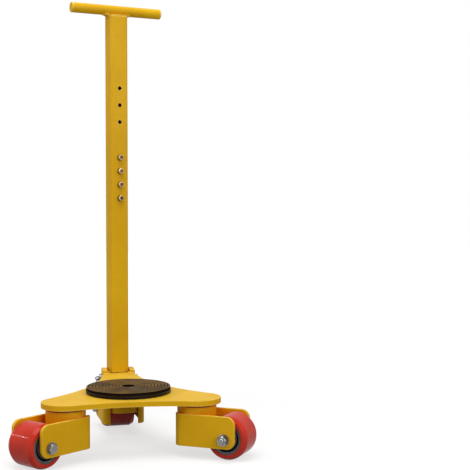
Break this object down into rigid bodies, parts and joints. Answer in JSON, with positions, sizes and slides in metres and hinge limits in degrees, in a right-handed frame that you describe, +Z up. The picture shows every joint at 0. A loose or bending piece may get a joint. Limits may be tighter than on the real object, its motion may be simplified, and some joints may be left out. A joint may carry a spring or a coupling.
{
  "type": "transport dolly",
  "caption": "Low three-armed machinery dolly on swivel casters, with a turntable load pad and a hinged upright T-handle for pulling.",
  "frame": {"origin": "centre of the load pad's top face, on the turntable axis", "axes": "+Z up along the turntable axis, +Y from the pad towards the handle, +X to the right seen from the pad towards the handle"},
  "size_m": [0.573, 0.5698, 1.1212],
  "materials": {
    "yellow_paint": "gloss yellow paint",
    "pad_rubber": "worn brown-black rubber",
    "disc_paint": "dark brown paint",
    "red_tread": "smooth red polyurethane",
    "cast_iron": "grey casting",
    "zinc_steel": "zinc plated",
    "dark_steel": "black oxide",
    "bearing_steel": "ground steel",
    "bronze": "plain bronze",
    "slide_plastic": "black acetal"
  },
  "bodies": {
    "frame": {"main_plate": "yellow_paint", "kingpins": "dark_steel", "kingpin_washers": "zinc_steel", "kingpin_nuts": "zinc_steel", "upper_races": "bearing_steel", "turntable_bush": "bronze", "slide_ring": "slide_plastic", "hinge_ears": "yellow_paint", "hinge_pin": "zinc_steel", "pin_ring": "zinc_steel", "pin_clip": "zinc_steel"},
    "turntable": {"load_pad": "pad_rubber", "turntable_disc": "disc_paint", "turntable_spigot": "dark_steel", "retaining_washer": "zinc_steel", "retaining_ring": "dark_steel"},
    "left_caster": {"left_fork": "yellow_paint", "left_swivel_head": "yellow_paint", "left_thrust_bearing": "bearing_steel", "left_swivel_bush": "bronze", "left_axle_bolt": "zinc_steel", "left_axle_nut": "zinc_steel", "left_axle_washers": "zinc_steel", "left_axle_spacers": "zinc_steel"},
    "left_wheel": {"left_tyre": "red_tread", "left_wheel_core": "cast_iron", "left_wheel_bearings": "bearing_steel"},
    "right_caster": {"right_fork": "yellow_paint", "right_swivel_head": "yellow_paint", "right_thrust_bearing": "bearing_steel", "right_swivel_bush": "bronze", "right_axle_bolt": "zinc_steel", "right_axle_nut": "zinc_steel", "right_axle_washers": "zinc_steel", "right_axle_spacers": "zinc_steel"},
    "right_wheel": {"right_tyre": "red_tread", "right_wheel_core": "cast_iron", "right_wheel_bearings": "bearing_steel"},
    "rear_caster": {"rear_fork": "yellow_paint", "rear_swivel_head": "yellow_paint", "rear_thrust_bearing": "bearing_steel", "rear_swivel_bush": "bronze", "rear_axle_bolt": "zinc_steel", "rear_axle_nut": "zinc_steel", "rear_axle_washers": "zinc_steel", "rear_axle_spacers": "zinc_steel"},
    "rear_wheel": {"rear_tyre": "red_tread", "rear_wheel_core": "cast_iron", "rear_wheel_bearings": "bearing_steel"},
    "knuckle": {"hinge_knuckle": "yellow_paint", "spindle_clip": "dark_steel"},
    "handle": {"post_foot": "yellow_paint", "lower_post": "yellow_paint", "upper_post": "yellow_paint", "splice_tube": "dark_steel", "splice_screws": "zinc_steel", "post_cap": "yellow_paint", "cross_bar": "yellow_paint", "bar_caps": "yellow_paint"}
  },
  "joints": [
    {"name": "turntable_spin", "type": "hinge", "parent": "frame", "child": "turntable", "pos_m": [0, 0, 0], "axis": [0, 0, 1], "continuous": true},
    {"name": "left_swivel", "type": "hinge", "parent": "frame", "child": "left_caster", "pos_m": [-0.15398, -0.0889, 0], "axis": [0, 0, 1], "continuous": true},
    {"name": "left_wheel_spin", "type": "hinge", "parent": "left_caster", "child": "left_wheel", "pos_m": [-0.22317, -0.14473, -0.1016], "axis": [0.628, -0.7782, 0], "continuous": true},
    {"name": "right_swivel", "type": "hinge", "parent": "frame", "child": "right_caster", "pos_m": [0.15398, -0.0889, 0], "axis": [0, 0, 1], "continuous": true},
    {"name": "right_wheel_spin", "type": "hinge", "parent": "right_caster", "child": "right_wheel", "pos_m": [0.22937, -0.13601, -0.1016], "axis": [0.5299, 0.848, 0], "continuous": true},
    {"name": "rear_swivel", "type": "hinge", "parent": "frame", "child": "rear_caster", "pos_m": [0, 0.1778, 0], "axis": [0, 0, 1], "continuous": true},
    {"name": "rear_wheel_spin", "type": "hinge", "parent": "rear_caster", "child": "rear_wheel", "pos_m": [-0.0062, 0.26648, -0.1016], "axis": [-0.9976, -0.0698, 0], "continuous": true},
    {"name": "handle_tilt", "type": "hinge", "parent": "frame", "child": "knuckle", "pos_m": [0, 0.316, -0.0333], "axis": [-1, 0, 0], "range_deg": [-3, 80]},
    {"name": "handle_swivel", "type": "hinge", "parent": "knuckle", "child": "handle", "pos_m": [0, 0.316, -0.0333], "axis": [0, 0, 1], "range_deg": [-40, 6]}
  ]
}
